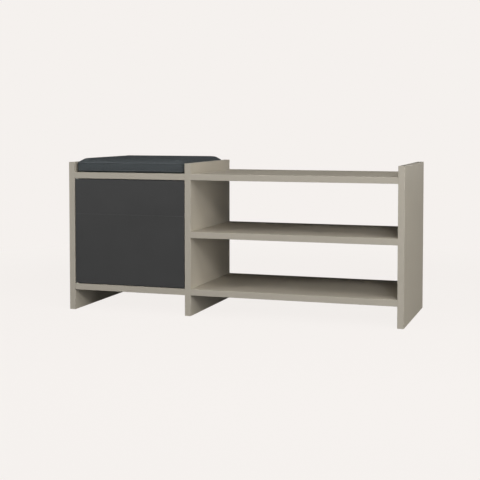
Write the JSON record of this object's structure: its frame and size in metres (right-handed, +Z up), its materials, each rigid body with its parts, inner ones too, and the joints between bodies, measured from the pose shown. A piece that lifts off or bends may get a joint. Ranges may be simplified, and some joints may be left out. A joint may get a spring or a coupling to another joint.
{
  "type": "entryway bench",
  "caption": "Entryway bench with a closed cabinet and a padded seat on the left and an open bay of shelves on the right, between three full-height uprights.",
  "frame": {"origin": "on the floor at the middle of the bench's footprint", "axes": "+X along the width towards the open bay, +Y towards the rear, +Z up; the front faces -Y"},
  "size_m": [1, 0.35, 0.45],
  "materials": {
    "taupe_melamine": "matte",
    "taupe_edge_band": "satin",
    "printed_hardboard": "matte",
    "anthracite_melamine": "matte",
    "anthracite_edge_band": "satin",
    "zinc_plated_steel": "satin",
    "nylon": "satin",
    "grey_plastic": "satin",
    "magnet_steel": "satin",
    "spring_steel": "satin",
    "zinc_die_casting": "satin",
    "beech": "matte",
    "upholstery_fabric": "matte",
    "foam": "matte"
  },
  "bodies": {
    "carcass": {"left_upright": "taupe_melamine", "centre_upright": "taupe_melamine", "right_upright": "taupe_melamine", "cabinet_top": "taupe_melamine", "cabinet_floor": "taupe_melamine", "open_top_shelf": "taupe_melamine", "open_middle_shelf": "taupe_melamine", "open_bottom_shelf": "taupe_melamine", "left_upright_edging": "taupe_edge_band", "centre_upright_edging": "taupe_edge_band", "right_upright_edging": "taupe_edge_band", "cabinet_top_edging": "taupe_edge_band", "cabinet_floor_edging": "taupe_edge_band", "open_top_shelf_edging": "taupe_edge_band", "open_middle_shelf_edging": "taupe_edge_band", "open_bottom_shelf_edging": "taupe_edge_band", "cabinet_back": "printed_hardboard", "lower_pivot_plate": "zinc_plated_steel", "lower_pivot_pin": "zinc_plated_steel", "upper_pivot_plate": "zinc_plated_steel", "upper_pivot_pin": "zinc_plated_steel", "pivot_plate_screws": "zinc_plated_steel", "latch_housing": "grey_plastic", "latch_spring": "spring_steel", "latch_screws": "zinc_plated_steel", "cam_locks_cabinet": "zinc_die_casting", "cam_bolts_cabinet": "zinc_plated_steel", "dowels_cabinet": "beech", "cam_locks_bay": "zinc_die_casting", "cam_bolts_bay": "zinc_plated_steel", "dowels_bay": "beech"},
    "door": {"door_panel": "anthracite_melamine", "door_edging": "anthracite_edge_band", "lower_pivot_bush": "nylon", "upper_pivot_bush": "nylon", "strike_plate": "zinc_plated_steel", "strike_screws": "zinc_plated_steel"},
    "plunger": {"latch_plunger": "grey_plastic", "latch_magnet": "magnet_steel"},
    "cushion": {"cushion_cover": "upholstery_fabric", "cushion_foam": "foam"}
  },
  "joints": [
    {"name": "door_hinge", "type": "hinge", "parent": "carcass", "child": "door", "pos_m": [-0.4755, -0.1695, 0.235], "axis": [0, 0, -1], "range_deg": [0, 100]},
    {"name": "latch_press", "type": "slide", "parent": "carcass", "child": "plunger", "axis": [0, 1, 0], "range_m": [0, 0.003], "stiffness_N_per_m": 200, "springref_m": -0.004},
    {"name": "cushion_lift", "type": "slide", "parent": "carcass", "child": "cushion", "axis": [0, 0, 1], "range_m": [0, 0.1]}
  ]
}
